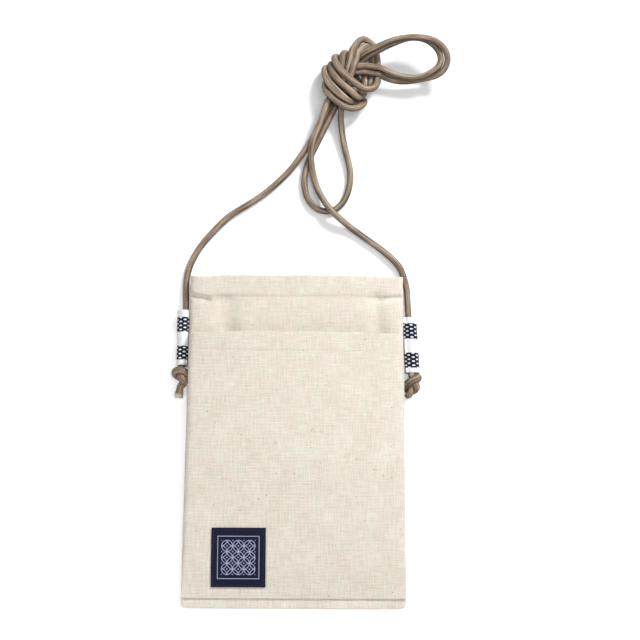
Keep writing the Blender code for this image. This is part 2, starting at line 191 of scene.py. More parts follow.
# Each tape tube's side and stand-off, bands, tilt in degrees, seed, widening and drop
LOOPS = {
    "left": (-1, 2.9 * MM, [(4.1 * MM, 12.7 * MM), (20.5 * MM, 28.5 * MM)], -0.6, 1.5, (1.13, 1.0), 0.0),
    "right": (1, 3.7 * MM, [(3.5 * MM, 12.4 * MM), (20.1 * MM, 28.8 * MM)], 2.4, 6.5, (1.10, 1.16), 0.8 * MM),
}

# The cord: its thickness, the steps that it is laid and settled in, and how far it is pressed flat
CORD = 3.6 * MM
CORD_STEP = 0.8 * MM
SETTLING_STEP = 1.3 * MM
KNOT_BEGINS_Y = 0.17
CORD_SIDES = 20
UNEVEN_REACH = 9 * MM
UNEVENNESS = 0.07 * MM
STOPPER_SWELL = 0.40 * MM
STOPPER_REACH = 45 * MM
KNOT_SPREAD = 0.12
WIDE_SPREAD = 0.24
WIDE_SPOT = (0.0223, 0.2035, 0.0126)
WIDE_REACH = 8 * MM
TAIL_SPREAD = 0.16
TAIL_REACH = 7 * MM
LEFT_TAIL_SWELL = (1.12, 1.26, 1.28, 1.25, 1.2, 1.14, 1.08, 1.03)
RIGHT_TAIL_TAPER = (0.93, 0.72)

# The cord's route in tenths of a millimetre, from its left stopper knot to its right one
TENTHS = 10000
LEFT_LEAD = [
    (-630, 430, 38), (-629, 549, 38), (-627, 710, 38), (-629, 780, 32), (-632, 852, 22), (-629, 912, 19),
    (-617, 970, 19), (-599, 1018, 19), (-569, 1077, 19), (-528, 1136, 19), (-487, 1184, 19),
    (-449, 1226, 19), (-385, 1287, 19), (-296, 1345, 19), (-206, 1408, 19), (-136, 1469, 19),
    (-58, 1547, 24), (-16, 1598, 34), (38, 1675, 44), (67, 1719, 48), (97, 1778, 48), (124, 1838, 46),
]
FIRST_WRAPS = [
    (160, 1909, 46), (201, 1989, 50), (244, 2066, 75), (280, 2141, 103), (291, 2174, 114),
    (301, 2212, 120), (314, 2267, 116), (338, 2319, 104), (371, 2351, 92), (405, 2343, 78),
    (433, 2313, 62), (452, 2262, 50), (461, 2197, 52), (463, 2124, 75), (453, 2060, 105),
    (428, 2021, 125), (393, 2012, 136), (358, 2023, 144), (322, 2048, 148), (286, 2079, 150),
    (247, 2118, 144), (220, 2166, 130), (205, 2211, 108), (206, 2245, 70), (224, 2259, 40),
    (245, 2236, 22), (286, 2173, 20), (334, 2096, 22), (371, 2047, 42), (373, 2001, 75), (347, 1975, 104),
    (322, 1984, 124), (297, 2005, 134), (264, 2031, 136), (227, 2068, 132), (199, 2119, 118),
    (183, 2167, 90), (185, 2208, 54), (206, 2209, 24), (245, 2148, 20), (289, 2072, 20), (322, 2013, 26),
    (325, 1975, 54), (310, 1951, 85), (287, 1952, 108), (255, 1972, 122), (218, 2006, 126),
    (181, 2049, 120), (157, 2095, 106), (147, 2146, 80), (154, 2191, 44), (183, 2176, 20),
    (227, 2097, 20), (280, 2024, 20), (339, 1995, 24), (383, 1983, 45), (373, 1947, 70), (343, 1918, 90),
    (308, 1907, 100), (270, 1913, 106), (232, 1937, 108), (194, 1973, 104), (162, 2018, 90),
    (148, 2067, 65), (162, 2103, 40), (203, 2083, 44), (256, 2052, 50), (309, 2038, 46), (356, 2041, 40),
    (383, 2062, 50), (386, 2099, 60), (382, 2141, 56), (362, 2185, 50), (330, 2198, 56), (308, 2178, 64),
    (317, 2156, 72),
]
UPPER_LOOP = [
    (346, 2150, 80), (384, 2146, 82), (443, 2132, 78), (502, 2116, 68), (561, 2101, 58), (619, 2098, 55),
    (678, 2104, 57), (736, 2114, 67), (787, 2119, 85), (827, 2130, 108), (852, 2155, 126),
    (864, 2195, 142), (857, 2233, 154), (836, 2268, 162), (806, 2291, 168), (765, 2310, 172),
    (712, 2320, 174), (655, 2323, 172), (597, 2319, 166), (533, 2304, 159), (470, 2279, 150),
    (412, 2257, 136), (360, 2237, 110), (320, 2221, 84), (295, 2202, 64), (288, 2178, 58),
    (304, 2161, 64), (330, 2167, 78), (356, 2173, 90), (390, 2175, 98), (442, 2164, 104),
    (500, 2143, 102), (559, 2124, 94), (617, 2111, 91), (675, 2104, 91), (727, 2113, 97),
    (771, 2130, 108), (802, 2151, 120), (821, 2176, 128), (826, 2202, 134), (821, 2231, 138),
    (808, 2261, 140), (785, 2290, 140), (754, 2314, 138), (710, 2333, 136), (658, 2338, 134),
    (605, 2327, 132), (553, 2307, 126), (495, 2283, 118), (437, 2258, 106), (382, 2232, 86),
    (326, 2188, 64), (280, 2125, 56), (247, 2058, 50), (227, 1997, 46),
]
LOWER_LOOP = [
    (208, 1952, 48), (189, 1906, 48), (169, 1854, 44), (145, 1800, 40), (123, 1756, 35), (101, 1711, 29),
    (81, 1671, 23), (60, 1623, 19), (45, 1580, 18), (36, 1531, 18), (33, 1486, 18), (38, 1440, 18),
    (51, 1392, 18), (79, 1350, 18), (117, 1320, 18), (160, 1310, 18), (203, 1316, 18), (246, 1349, 18),
    (275, 1397, 18), (293, 1453, 18), (300, 1527, 18), (290, 1603, 19), (271, 1678, 23), (256, 1754, 32),
    (247, 1821, 44), (242, 1879, 60),
]
LAST_WRAPS = [
    (247, 1928, 76), (260, 1979, 88), (280, 2038, 96), (295, 2091, 104), (305, 2136, 114),
    (318, 2181, 120), (334, 2229, 118), (357, 2275, 106), (385, 2309, 88), (413, 2306, 68),
    (425, 2266, 54), (427, 2205, 48), (426, 2138, 56), (420, 2089, 60), (395, 2075, 36), (351, 2093, 22),
    (317, 2141, 22), (301, 2186, 54), (288, 2222, 86), (279, 2253, 92), (264, 2266, 98), (251, 2243, 106),
    (249, 2202, 108), (242, 2153, 104), (230, 2101, 94), (212, 2051, 80), (190, 2003, 68),
    (166, 1953, 68),
]
RIGHT_LEAD = [
    (145, 1897, 78), (126, 1837, 86), (105, 1781, 86), (88, 1737, 82), (75, 1694, 74), (69, 1656, 62),
    (70, 1612, 48), (75, 1571, 36), (84, 1528, 28), (96, 1484, 24), (112, 1437, 28), (135, 1388, 40),
    (163, 1338, 56), (201, 1291, 60), (246, 1252, 48), (283, 1224, 32), (334, 1188, 20), (399, 1141, 19),
    (478, 1082, 19), (543, 1024, 19), (581, 977, 19), (600, 930, 19), (612, 883, 20), (620, 835, 24),
    (621, 787, 31), (624, 716, 38), (634, 527, 38), (640, 405, 36),
]

# A drawn-up overhand knot about its own middle, in the same units: the cord comes in from +Y, its tail leaves
# towards -Y
STOPPER = [
    (5, 50, -9), (0, 32, -10), (-5, 14, -13), (-16, -1, -16), (-28, -14, -10), (-35, -24, 5),
    (-32, -29, 22), (-20, -29, 37), (-3, -25, 43), (14, -18, 39), (25, -11, 26), (27, -3, 9), (27, 3, -9),
    (25, 11, -26), (14, 18, -39), (-3, 25, -43), (-20, 29, -37), (-32, 29, -22), (-35, 24, -5),
    (-28, 14, 10), (-16, 1, 16), (-5, -14, 13), (0, -32, 10),
]
STOPPER_SIZE = (0.92, 1.1, 0.92)
STOPPER_PRESSED = 0.84

# Each stopper knot's middle, its roll in degrees and its tail
LEFT_STOPPER = [
    (-0.0635, 0.0338, 0.0050), 120,
    [(-0.0642, 0.0288, 0.0042), (-0.0649, 0.0260, 0.0034), (-0.0654, 0.0224, 0.0028)],
]
RIGHT_STOPPER = [
    (0.0637, 0.0306, 0.0046), 215,
    [(0.0630, 0.0256, 0.0042), (0.0618, 0.0244, 0.0034), (0.0607, 0.0236, 0.0028)],
]

# Studio: each lamp's place, aim, width, watts and spread in degrees
LAMPS = {
    "key": ((0.62, 0.85, 0.80), (0, 0.05, 0), 0.28, 13.6, 180),
    "fill": ((-0.50, -0.45, 0.34), (0.0, -0.06, 0), 0.45, 0.235, 50),
    "overhead": ((0.50, 0.0, 1.4), (0, 0.05, 0), 0.8, 5.6, 180),
}
SKY_LIGHT = 0.225
TABLE_SIZE = 3.0
TABLE_WHITE = (0.93, 0.93, 0.93, 1)
TABLE_DROP = 0.1 * MM


def add_camera():
    """The camera stands over the pouch's mouth end, tipped a little towards the knot."""
    data = bpy.data.cameras.new("camera")
    data.sensor_width = 36
    data.lens = 61.875
    tilt, roll = math.radians(12), math.radians(0.3)
    camera = bpy.data.objects.new("camera", data)
    camera.location = (0.0135, -0.0618, 0.6084)
    camera.rotation_euler = (tilt, 0, roll)
    bpy.context.scene.collection.objects.link(camera)
    bpy.context.scene.camera = camera


class Wire:
    """A value inside a material. Python's operators on it add the matching Math nodes."""

    def __init__(self, finish, socket):
        self.finish = finish
        self.socket = socket

    def output(self, name):
        """Another output of the node that gives this value."""
        return Wire(self.finish, self.socket.node.outputs[name])

    def math(self, operation, *others):
        return self.finish.math(operation, self, *others)

    def __add__(self, other):
        return self.math("ADD", other)

    def __radd__(self, other):
        return self.math("ADD", other)

    def __sub__(self, other):
        return self.math("SUBTRACT", other)

    def __rsub__(self, other):
        return self.finish.math("SUBTRACT", other, self)

    def __mul__(self, other):
        return self.math("MULTIPLY", other)

    def __rmul__(self, other):
        return self.math("MULTIPLY", other)

    def __truediv__(self, other):
        return self.math("DIVIDE", other)

    def __gt__(self, other):
        return self.math("GREATER_THAN", other)

    def __abs__(self):
        return self.math("ABSOLUTE")


class Finish:
    """One material: its plain shader values, and one method that adds any node to it."""

    def __init__(self, name, **plain):
        self.take(bpy.data.materials.new(name), "Principled BSDF", plain)

    def take(self, material, shader, plain):
        """Works on this material or world, whose shader node gets the plain values."""
        material.use_nodes = True
        self.material = material
        self.tree = material.node_tree
        self.shader = self.tree.nodes[shader]
        for socket, value in plain.items():
            self.shader.inputs[socket.replace("_", " ")].default_value = value

    def node(self, kind, settings=None, sockets=None, output=0):
        made = self.tree.nodes.new(kind)
        for name, value in (settings or {}).items():
            if name == "stops":
                ramp = made.color_ramp.elements
                while len(ramp) < len(value):
                    ramp.new(0.5)
                for stop, (place, colour) in zip(ramp, value):
                    stop.position = place
                    stop.color = colour
            else:
                setattr(made, name, value)
        for name, value in (sockets or {}).items():
            if isinstance(value, Wire):
                self.tree.links.new(value.socket, made.inputs[name])
            else:
                made.inputs[name].default_value = value
        return Wire(self, made.outputs[output])

    def wear(self, **looks):
        """Feeds what changes over the surface into the shader."""
        for socket, value in looks.items():
            self.tree.links.new(value.socket, self.shader.inputs[socket.replace("_", " ")])
        return self.material

    def math(self, operation, *values):
        return self.node("ShaderNodeMath", {"operation": operation}, dict(enumerate(values)))

    def split(self, place):
        """The first of a place's three parts, whose other outputs are Y and Z."""
        return self.node("ShaderNodeSeparateXYZ", sockets={0: place})

    def laid(self):
        """The two coordinates of the cloth itself, in metres: across it and along it."""
        across = self.split(self.node("ShaderNodeUVMap", {"uv_map": "cloth"}))
        return across, across.output("Y")

    def point(self, x, y, z=0.0):
        return self.node("ShaderNodeCombineXYZ", sockets={0: x, 1: y, 2: z})

    def cloud(self, place, scale, detail=2.0, roughness=0.5):
        sockets = {"Vector": place, "Scale": scale, "Detail": detail, "Roughness": roughness}
        return self.node("ShaderNodeTexNoise", sockets=sockets)

    def blend(self, share, first, second, blend_type="MIX"):
        settings = {"data_type": "RGBA", "blend_type": blend_type}
        return self.node("ShaderNodeMix", settings, {0: share, 6: first, 7: second}, 2)

    def between(self, value, low, high, start=0.0, end=1.0):
        """value eased from start at low to end at high."""
        return self.node(
            "ShaderNodeMapRange", {"interpolation_type": "SMOOTHSTEP"},
            {0: value, 1: low, 2: high, 3: start, 4: end},
        )

    def looked_at(self):
        """1 where the camera sees this, directly, in a shine or through glass, and 0 for its light on things."""
        seen = self.node("ShaderNodeLightPath")
        return seen + seen.output("Is Glossy Ray") + seen.output("Is Transmission Ray")

    def relief(self, height, depth, strength=1.0):
        return self.node("ShaderNodeBump", sockets={"Strength": strength, "Distance": depth, "Height": height})

    def plain_weave(self, across, along, across_pitch, along_pitch):
        """Height of a plain weave, 0 in its gaps to 1 on its threads, and which thread is on top."""
        rise, dip = 0.55, 0.4
        warp = (across * (math.pi / across_pitch)).math("SINE")
        weft = (along * (math.pi / along_pitch)).math("SINE")
        warp_height = abs(warp) * rise + warp.math("SIGN") * weft * dip
        weft_height = abs(weft) * rise - weft.math("SIGN") * warp * dip
        return warp_height.math("MAXIMUM", weft_height), warp_height > weft_height


class Sky(Finish):
    """The world's own nodes, worked with as a material's are."""

    def __init__(self, name, **plain):
        self.take(bpy.data.worlds.new(name), "Background", plain)


def linear(red, green, blue):
    """A colour given in 0 to 255 steps as the eye sees them, as the shader wants it."""
    shares = [part / 255 for part in (red, green, blue)]
    return (*[s / 12.92 if s <= 0.04045 else ((s + 0.055) / 1.055) ** 2.4 for s in shares], 1.0)


def canvas_finish(name, light, shade):
    """Unbleached canvas: a plain weave of slubby yarns with faint warm and cool patches and small seed flecks."""
    finish = Finish(name, Sheen_Weight=0.12, Sheen_Roughness=0.5, Specular_IOR_Level=0.2)
    warp_pitch, weft_pitch = 0.70 * MM, 0.76 * MM
    warp_count, weft_count, slub_count = 1430, 1310, 130
    across, along = finish.laid()
    weave, warp_up = finish.plain_weave(across, along, warp_pitch, weft_pitch)
    warp_yarn = finish.cloud(finish.point(across * warp_count, along * slub_count), 1.0)
    weft_yarn = finish.cloud(finish.point(across * slub_count, along * weft_count, 7.0), 1.0)
    yarn = warp_yarn * warp_up + weft_yarn * (1 - warp_up)
    patches = finish.cloud(finish.point(across, along), 60.0, 4.0, 0.6)
    fibre = finish.cloud(finish.point(across, along, 2.0), 2600.0)
    # The weave term paints the gaps between the threads a little darker than the threads: painted shade.
    tone = (yarn - 0.5) * 1.4 + (patches - 0.5) * 0.5 + (weave - 0.55) * 0.4 + (fibre - 0.5) * 1.1 + 0.5
    cloth = finish.blend(finish.between(tone, 0.0, 1.0), shade, light)
    hue = finish.cloud(finish.point(across, along, 5.0), 95.0, 3.0, 0.6)
    warm = finish.blend(finish.between(hue, 0.3, 0.7), linear(255, 249, 250), linear(252, 254, 251))
    tinted = finish.blend(1.0, cloth, warm, "MULTIPLY")
    seeds = finish.node(
        "ShaderNodeTexVoronoi", {"feature": "F1"},
        {"Vector": finish.point(across * 210, along * 330), "Scale": 1.0, "Randomness": 1.0},
    )
    chance = finish.split(seeds.output("Color"))
    fleck = finish.between(seeds, 0.05, 0.14, 1.0, 0.0) * finish.between(chance, 0.70, 1.0, 0.0, 0.65)
    return finish.wear(
        Base_Color=finish.blend(fleck, tinted, linear(134, 108, 76)),
        Roughness=finish.between(weave, 0.0, 1.0, 0.97, 0.86),
        Normal=finish.relief(weave + yarn * 0.5 + fibre * 0.25, 0.16 * MM, 0.75),
    )


def thread_finish(name, dark, light):
    """Sewing thread: plies twisted together."""
    finish = Finish(name, Sheen_Weight=0.1, Specular_IOR_Level=0.35)
    around, along = finish.laid()
    tone = finish.between((along * 9000 + around * 6.28).math("SINE"), -1.0, 1.0)
    return finish.wear(
        Base_Color=finish.blend(tone, dark, light), Roughness=tone * -0.15 + 0.75,
        Normal=finish.relief(tone, 0.05 * MM, 0.8),
    )


def cord_finish():
    """Brown round cord: a fine tight braid that has worn smooth, with darker and paler strands along it."""
    finish = Finish("brown_cord", Sheen_Weight=0.12, Sheen_Roughness=0.4, Specular_IOR_Level=0.5)
    around, along = finish.laid()
    strands_round, braid_pitch = 9.0, 15 * MM
    right = (around + along / braid_pitch) * strands_round
    left = (around - along / braid_pitch) * strands_round
    weave, right_up = finish.plain_weave(right, left, 1.0, 1.0)
    angle = around * (2 * math.pi)
    strands = finish.point(angle.math("COSINE") * 1.5, angle.math("SINE") * 1.5, along * 70)
    streak = finish.cloud(strands, 1.0, 3.0, 0.6)
    fibre = finish.cloud(finish.point(around * 40, along * 900, 1.0), 3.0, 3.0)
    # Painted shade: the cord's tone is darker where its surface faces sideways or down and a little paler on top,
    # as the light from above falls on it; the braid's gaps and under strands are also painted a little darker.
    facing = finish.split(finish.node("ShaderNodeTexCoord", output=1)).output("Z")
    painted_shade_below = finish.between(facing, 0.1, 0.95, -0.40, 0.03)
    tone = (weave - 0.5) * 0.42 + (fibre - 0.5) * 0.42 + (streak - 0.5) * 1.7 + right_up * 0.05 + painted_shade_below + 0.48
    browns = [(0.1, linear(58, 44, 33)), (0.5, linear(126, 107, 88)), (0.95, linear(190, 168, 143))]
    colour = finish.node("ShaderNodeValToRGB", {"stops": browns}, {0: tone})
    frayed = finish.between(along + (fibre - 0.5) * (3 * MM), 1.6 * MM, 2.9 * MM, 1.0, 0.0)
    return finish.wear(
        Base_Color=finish.blend(frayed, colour, linear(196, 196, 180)),
        Roughness=finish.between(tone, 0.0, 1.0, 0.62, 0.42),
        Normal=finish.relief(weave + fibre * 0.4 + streak * 0.8, 0.12 * MM, 0.7),
    )


def label_finish():
    """Navy woven label: fine ribs, with a lattice of interlocking rings in pale lavender inside a thin frame."""
    finish = Finish("navy_label_weave", Specular_IOR_Level=0.18)
    across, along = finish.laid()
    weave, _ = finish.plain_weave(across, along, 0.24 * MM, 0.30 * MM)
    lines = None
    for shift in (0.0, 0.5):
        step_x = (across / RING_CELL + shift).math("FRACT") - 0.5
        step_y = (along / RING_CELL + shift).math("FRACT") - 0.5
        radius = (step_x * step_x + step_y * step_y).math("SQRT")
        ring = finish.between(abs(radius - RING_RADIUS), 0.022, 0.046, 1.0, 0.0)
        dot = finish.between(radius, 0.05, 0.08, 1.0, 0.0)
        both = ring.math("MAXIMUM", dot)
        lines = both if lines is None else lines.math("MAXIMUM", both)
    from_middle = abs(across).math("MAXIMUM", abs(along))
    lines = lines * finish.between(from_middle, FIELD_HALF, FIELD_HALF + 0.12 * MM, 1.0, 0.0)
    frame_line = finish.between(abs(from_middle - FRAME_HALF), 0.14 * MM, 0.26 * MM, 1.0, 0.0)
    motif = lines.math("MAXIMUM", frame_line)
    yarn = finish.cloud(finish.point(across * 60, along * 3600), 1.0, 1.0)
    navy = finish.blend(yarn, linear(4, 5, 25), linear(17, 19, 50))
    lavender = finish.blend(yarn, linear(142, 148, 184), linear(182, 187, 216))
    return finish.wear(
        Base_Color=finish.blend(motif, navy, lavender),
        Roughness=finish.between(weave, 0.0, 1.0, 0.85, 0.62),
        Normal=finish.relief(weave * 0.8 + motif * 0.6, 0.10 * MM, 0.7),
    )


def tape_finish(name, bands):
    """White woven tape with navy bands; each band is a net with staggered white dots."""
    finish = Finish(name, Sheen_Weight=0.12, Sheen_Roughness=0.4, Specular_IOR_Level=0.3)
    around, down = finish.laid()
    weave, _ = finish.plain_weave(around, down, 0.42 * MM, 0.38 * MM)
    navy = None
    for start, end in bands:
        middle, half = (start + end) / 2, (end - start) / 2
        edge = finish.cloud(finish.point(around * 900, down * 30), 1.0, 1.0) * (0.5 * MM)
        band = finish.between(abs(down - middle) + edge, half, half + 0.35 * MM, 1.0, 0.0)
        navy = band if navy is None else navy + band
    column = (around * (math.pi / (2.0 * MM))).math("COSINE")
    row = (down * (math.pi / (1.14 * MM))).math("COSINE")
    dots = finish.between(column * row, 0.36, 0.54)
    fibre = finish.cloud(finish.point(around, down, 3.0), 4200.0)
    white = finish.blend(fibre, linear(236, 239, 246), linear(253, 254, 255))
    dark = finish.blend(fibre, linear(4, 5, 25), linear(20, 22, 54))
    return finish.wear(
        Base_Color=finish.blend(navy * (1 - dots), white, dark),
        Roughness=finish.between(weave, 0.0, 1.0, 0.92, 0.8),
        Normal=finish.relief(weave + dots * navy * 0.8 + fibre * 0.2, 0.14 * MM, 0.7),
    )


def clamped(value):
    return min(max(value, 0.0), 1.0)


def eased(share):
    """0 to 1 with a soft start and a soft end."""
    share = clamped(share)
    return share * share * (3 - 2 * share)


def cloth_mesh():
    """An empty mesh, and the layer that holds the cloth's own coordinates."""
    bm = bmesh.new()
    return bm, bm.loops.layers.uv.new("cloth")


def mesh_object(name, bm, finish):
    """A smooth-shaded object from this bmesh, facing outwards."""
    bmesh.ops.remove_doubles(bm, verts=bm.verts, dist=0.002 * MM)
    bmesh.ops.recalc_face_normals(bm, faces=bm.faces)
    mesh = bpy.data.meshes.new(name)
    bm.to_mesh(mesh)
    bm.free()
    mesh.shade_smooth()
    mesh.materials.append(finish)
    made = bpy.data.objects.new(name, mesh)
    bpy.context.scene.collection.objects.link(made)
    return made


def place(piece, slot, *nodes):
    """The piece rides with the pouch and stands for these solids, which it hides; slot is not used."""
    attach(piece, "root")
    if nodes:
        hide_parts(*nodes)
    return piece


def through(route, parts=8):
    """Closely spaced points on a smooth curve through the route's points."""
    points = np.array(route, float)
    points = np.vstack([2 * points[0] - points[1], points, 2 * points[-1] - points[-2]])
    share = (np.arange(parts) / parts)[:, None]
    dense = []
    for a, b, c, d in zip(points, points[1:], points[2:], points[3:]):
        bend = (2 * a - 5 * b + 4 * c - d) * share**2 + (3 * b - a - 3 * c + d) * share**3
        dense.append(b + ((c - a) * share + bend) / 2)
    return np.vstack([*dense, points[-2]])


def travelled_along(line):
    """How far along the line each of its points lies."""
    return np.concatenate([[0], np.cumsum(np.linalg.norm(np.diff(line, axis=0), axis=1))])


def spaced(line, step):
    """The line's points at equal steps, its two ends among them."""
    travelled = travelled_along(line)
    goals = np.linspace(0, travelled[-1], round(travelled[-1] / step) + 1)
    return np.stack([np.interp(goals, travelled, line[:, axis]) for axis in range(3)], 1)


def pushed_apart(line, thickness, near, force):
    """How each point moves to leave room for the other turns of the cord that touch it."""
    offset = line[:, None] - line[None]
    distance = np.linalg.norm(offset, axis=2)
    order = np.arange(len(line))
    apart = np.abs(order[:, None] - order[None]) > near
    overlap = np.where(apart & (distance < thickness), thickness - distance, 0)
    push = offset / np.maximum(distance, 1e-6)[:, :, None] * overlap[:, :, None]
    touched = np.maximum((overlap > 0).sum(1), 1)[:, None]
    return push.sum(1) / touched * force


def settled_cord(line, rounds=150):
    """The cord's turns eased apart where they would share space, held near the route and above the table."""
    goal = line.copy()
    near = round(2.2 * CORD / SETTLING_STEP)
    touching, force, smoothing, pull = 0.98 * CORD, 0.5, 0.08, 0.03
    for _ in range(rounds):
        line = line + pushed_apart(line, touching, near, force)
        middle = (line[:-2] + line[2:]) / 2
        line[1:-1] += (middle - line[1:-1]) * smoothing
        line += (goal - line) * pull
        line[:, 2] = np.maximum(line[:, 2], CORD / 2)
    return line


def stopper(middle, roll, tail):
    """A stopper knot's points, from the cord that comes down to it to the end of its tail."""
    turn = math.radians(roll)
    points = []
    for x, y, z in np.array(STOPPER) / TENTHS * STOPPER_SIZE:
        points.append((
            middle[0] + x * math.cos(turn) + z * math.sin(turn), middle[1] + y,
            middle[2] + (z * math.cos(turn) - x * math.sin(turn)) * STOPPER_PRESSED,
        ))
    return [*points, *tail]


def cord_route():
    """The whole cord's middle line, from the left tail's end to the right tail's end."""
    left, right = stopper(*LEFT_STOPPER), stopper(*RIGHT_STOPPER)
    between = [*LEFT_LEAD, *FIRST_WRAPS, *UPPER_LOOP, *LOWER_LOOP, *LAST_WRAPS, *RIGHT_LEAD]
    line = spaced(through([*left[::-1], *np.array(between) / TENTHS, *right]), SETTLING_STEP)
    wrapped = np.where(line[:, 1] > KNOT_BEGINS_Y)[0]
    spare = 20
    first, last = wrapped[0] - spare, wrapped[-1] + spare
    line[first:last] = settled_cord(line[first:last])
    line = spaced(through(line, 3), CORD_STEP)
    line[:, 2] = np.maximum(line[:, 2], CORD / 2)
    return line


def squeezed(line):
    """The cord's radius along its line: a little uneven, and pressed thicker inside the stopper knots."""
    from_start = np.arange(len(line)) * CORD_STEP
    from_end = np.minimum(from_start, from_start[::-1])
    past_tail = np.clip((from_end - 5 * MM) / (3 * MM), 0, 1)
    before_lead = np.clip((STOPPER_REACH - from_end) / (4 * MM), 0, 1)
    uneven = np.array([noise.noise(Vector((gone / UNEVEN_REACH, 0.4, 7.7))) for gone in from_start])
    return CORD / 2 + STOPPER_SWELL * past_tail * before_lead + UNEVENNESS * uneven


def flattening(line):
    """How far the cord is pressed wide in its wrapped knot, most at one turn, and at its left tail."""
    from_start = np.arange(len(line)) * CORD_STEP
    knot_low_y, knot_right_x = 0.186, 0.052
    in_y = np.clip((line[:, 1] - knot_low_y) / (12 * MM), 0, 1)
    in_x = np.clip((knot_right_x - line[:, 0]) / (8 * MM), 0, 1)
    nearest = np.argmin(np.linalg.norm(line - np.array(WIDE_SPOT), axis=1))
    away = (from_start - from_start[nearest]) / WIDE_REACH
    tail = np.clip(1 - from_start / TAIL_REACH, 0, 1)
    return 1 + KNOT_SPREAD * in_y * in_x + WIDE_SPREAD * np.exp(-away * away) + TAIL_SPREAD * tail


def tube(bm, layer, line, radii, sides, spread=None):
    """A round tube along the line, with its own two coordinates: turns round it and metres along it.

    spread presses it that much wider and as much lower."""
    spread = np.ones(len(line)) if spread is None else spread
    forward = np.gradient(line, axis=0)
    forward /= np.linalg.norm(forward, axis=1)[:, None]
    side = np.cross(forward[0], (0, 0, 1))
    side /= np.linalg.norm(side)
    rings = []
    for centre, along, radius, wide in zip(line, forward, radii, spread):
        side = side - along * np.dot(side, along)
        side /= np.linalg.norm(side)
        over = np.cross(along, side)
        ring = []
        for k in range(sides):
            angle = 2 * math.pi * k / sides
            out = (side * math.cos(angle) + over * math.sin(angle)) * radius
            ring.append(bm.verts.new(centre + out * (wide, wide, 1 / wide)))
        rings.append(ring)
    travelled = travelled_along(line)
    for n, (here, there) in enumerate(zip(rings, rings[1:])):
        for k in range(sides):
            after = (k + 1) % sides
            face = bm.faces.new((here[k], here[after], there[after], there[k]))
            turns = (k / sides, (k + 1) / sides, (k + 1) / sides, k / sides)
            lengths = (travelled[n], travelled[n], travelled[n + 1], travelled[n + 1])
            for corner, u, v in zip(face.loops, turns, lengths):
                corner[layer].uv = (u, v)
    for ring in (rings[0], rings[-1]):
        face = bm.faces.new(ring)
        for corner in face.loops:
            corner[layer].uv = (0.5, 0)


def make_cord():
    """The one unbroken cord, with its wrapped knot, its loops and a stopper knot at each end."""
    line = cord_route()
    radii = squeezed(line)
    radii[-len(RIGHT_TAIL_TAPER):] *= RIGHT_TAIL_TAPER
    radii[:len(LEFT_TAIL_SWELL)] *= LEFT_TAIL_SWELL
    line[:, 2] = np.maximum(line[:, 2], radii)
    bm, layer = cloth_mesh()
    tube(bm, layer, line, radii, CORD_SIDES, flattening(line))
    cord = place(
        mesh_object("shoulder_cord", bm, cord_finish()), "cord", "cord_left_lead", "cord_right_lead",
        "cord_lower_loop", "cord_upper_loop_outer", "cord_upper_loop_inner", "cord_knot",
        "cord_end_knot_left", "cord_end_knot_right",
    )


def crown(share, y):
    """Fullness across the front: 1 over its middle and 0 at the seams, rounder near the mouth."""
    near_mouth = clamped((y - POUCH_TOP + MOUTH_REACH) / MOUTH_REACH)
    squareness = SQUARENESS + (MOUTH_SQUARENESS - SQUARENESS) * near_mouth
    share = min(abs(share), 1.0)
    return (1 - share**squareness) ** (1 / SHOULDER) * (1 - SIDE_FALL * share * share)


def tapered(climb):
    """Fullness along the pouch: 0 where the taper starts and 1 once past it."""
    return 1 - (1 - clamped(climb / BOTTOM_TAPER)) ** BOTTOM_FULLNESS


def bottom_swell(y, start):
    """Fullness along the main front panel, whose lowest strip stays flat."""
    return tapered(y - start - STRIP)


def back_lift(x, y, half, start):
    """How far the back has turned up off its flat middle, from 0 there to 1 at the seams and the fold."""
    side = clamped((abs(x) - half + BACK_SIDE_ROLL) / BACK_SIDE_ROLL)
    end = clamped((start + BACK_END_ROLL - y) / BACK_END_ROLL)
    return 1 - math.sqrt(1 - side * side) * math.sqrt(1 - end * end)


def waves(x, y, size, seed, height):
    """Smooth unevenness up to this height, whose patches are about this size."""
    return height * noise.noise(Vector((x / size, y / size, seed)))


def crease_lines(creases):
    """The creases in metres, each as its start, its run, its width and its depth."""
    lines = []
    for start, end, width, depth in creases:
        first, last = (Vector([part * MM for part in spot]) for spot in (start, end))
        lines.append((first, last - first, width * MM, depth * MM))
    return lines


def creased(x, y, lines):
    """How far soft furrows lift the cloth here. Each presses it down by its depth and fades out at its ends."""
    lift = 0
    fading = 0.25
    here = Vector((x, y))
    for first, run, width, depth in lines:
        offset = here - first
        share = offset.dot(run) / run.length_squared
        if -fading < share < 1 + fading:
            away = abs(offset.x * run.y - offset.y * run.x) / run.length
            fade = eased(share / fading + 1) * eased((1 - share) / fading + 1)
            lift -= depth * math.exp(-((away / width) ** 2)) * fade
    return lift


MOUTH_LINES = crease_lines(MOUTH_CREASES)
POCKET_LINES = crease_lines(POCKET_CREASES)


def stitch_dip(x, y, row, depth):
    """The cloth drawn down along a row of stitches, deeper where the needle went through."""
    across = (y - row) / STITCH_DIP_WIDTH
    at_needle = 0.8 + 0.2 * math.cos(2 * math.pi * x / STITCH_PITCH)
    return -depth * math.exp(-across * across) * at_needle


def quad(bm, layer, corners):
    """One face whose corners are pairs of a vertex and its place on the cloth."""
    if len({vert for vert, _ in corners}) < 3:
        return
    face = bm.faces.new([vert for vert, _ in corners])
    for loop, (_, uv) in zip(face.loops, corners):
        loop[layer].uv = uv


def join(bm, layer, first, second):
    """Faces between two lines of as many corners."""
    for a, b, c, d in zip(first, first[1:], second[1:], second):
        quad(bm, layer, (a, b, c, d))


def close_rows(low, high, wide, close, places):
    """Values from low to high, a wide step apart and a close one near each (place, reach)."""
    values = [low]
    while values[-1] < high - close:
        here = values[-1]
        near = any(abs(here - place) < reach for place, reach in places)
        values.append(min(here + (close if near else wide), high))
    return values if high - values[-1] < close / 2 else [*values, high]


